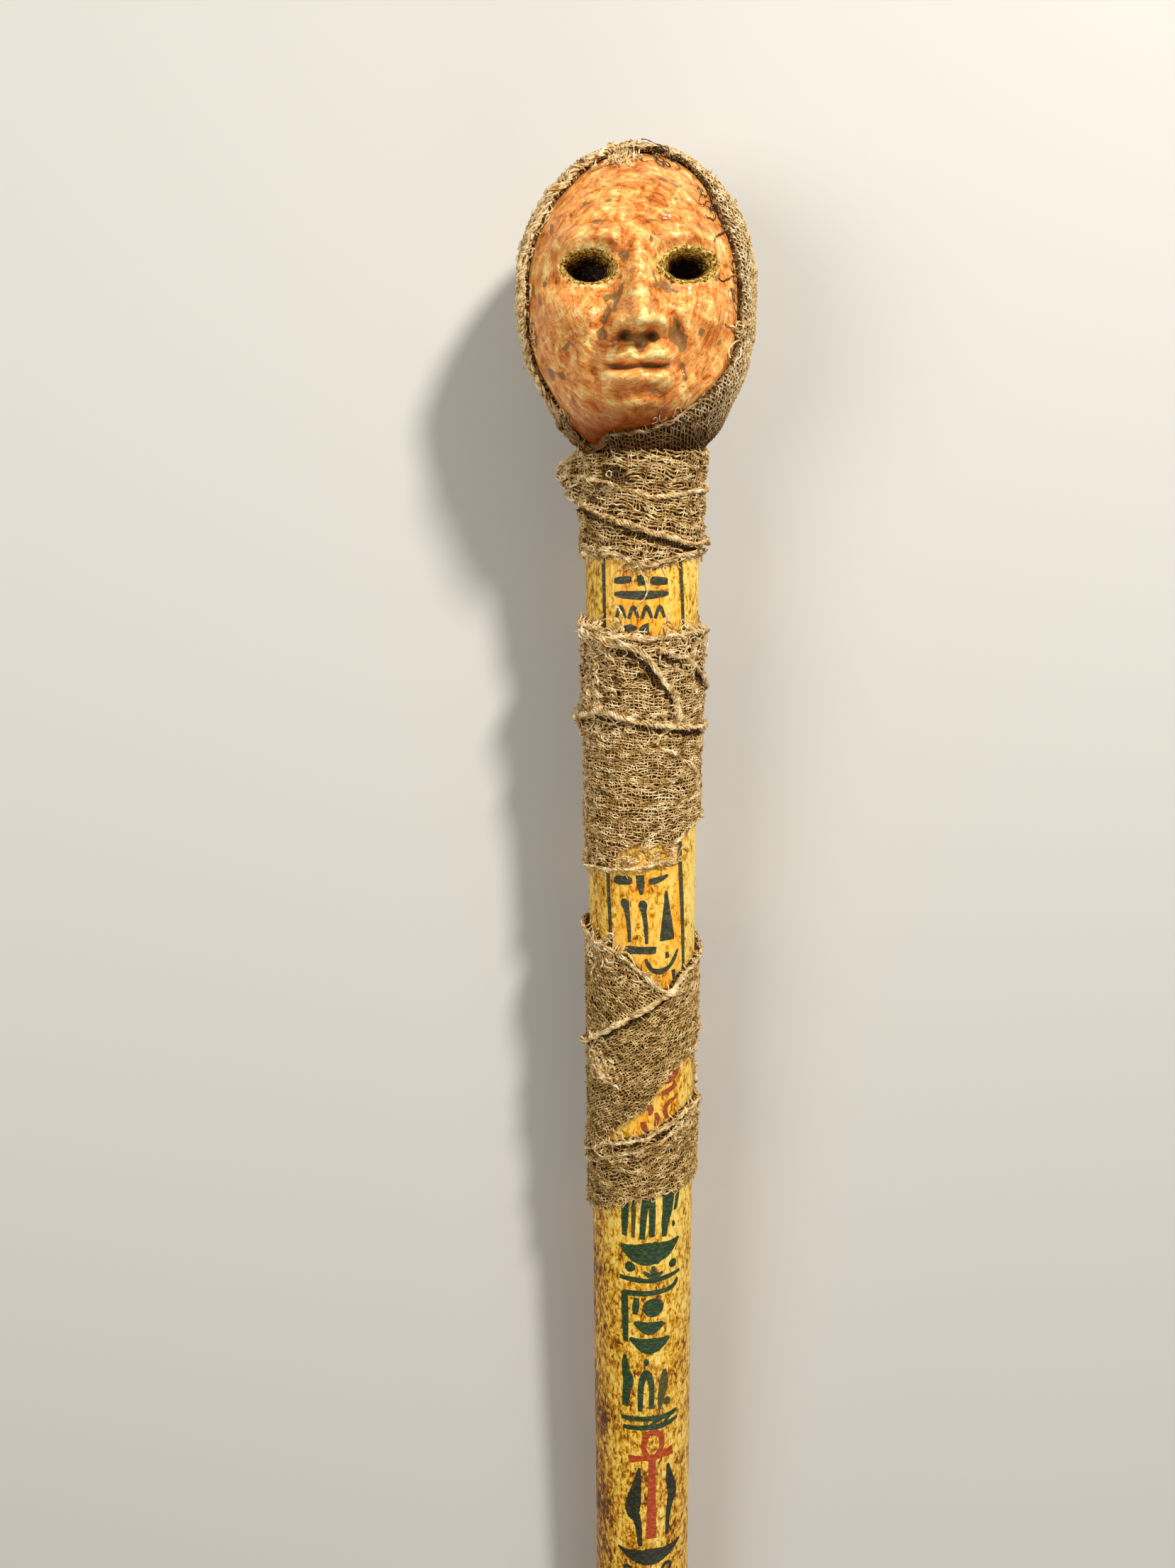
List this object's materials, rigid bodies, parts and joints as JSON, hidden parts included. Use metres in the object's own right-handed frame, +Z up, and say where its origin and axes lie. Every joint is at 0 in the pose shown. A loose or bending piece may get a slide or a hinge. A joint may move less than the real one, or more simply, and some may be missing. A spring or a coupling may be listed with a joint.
{
  "type": "mummy-headed sceptre",
  "caption": "Round painted wooden staff with a small glazed head under a gauze hood, bound with gauze bandages, lying on its back face up.",
  "frame": {"origin": "the middle of the underside of the staff's bounding box, on the surface that it lies on", "axes": "+Y along the staff from its foot to its head, +Z up, the way that the face looks, and +X to the right of someone looking down on it with the head away from them"},
  "size_m": [0.0764, 0.7604, 0.0882],
  "materials": {
    "painted_wood": "mottled gold and ochre paint under a satin varnish",
    "glazed_clay": "glossy orange-brown glaze with grey-brown pools in its hollows",
    "hood_gauze": "loose khaki-brown gauze, frayed at its edge",
    "bandage_gauze": "loose khaki-brown gauze, wrinkled and frayed"
  },
  "bodies": {
    "root": {"shaft": "painted_wood", "mummy_head": "glazed_clay", "hood": "hood_gauze", "neck_wrap": "bandage_gauze", "upper_wrap": "bandage_gauze", "cross_wrap": "bandage_gauze", "lower_wrap": "bandage_gauze"}
  },
  "joints": []
}
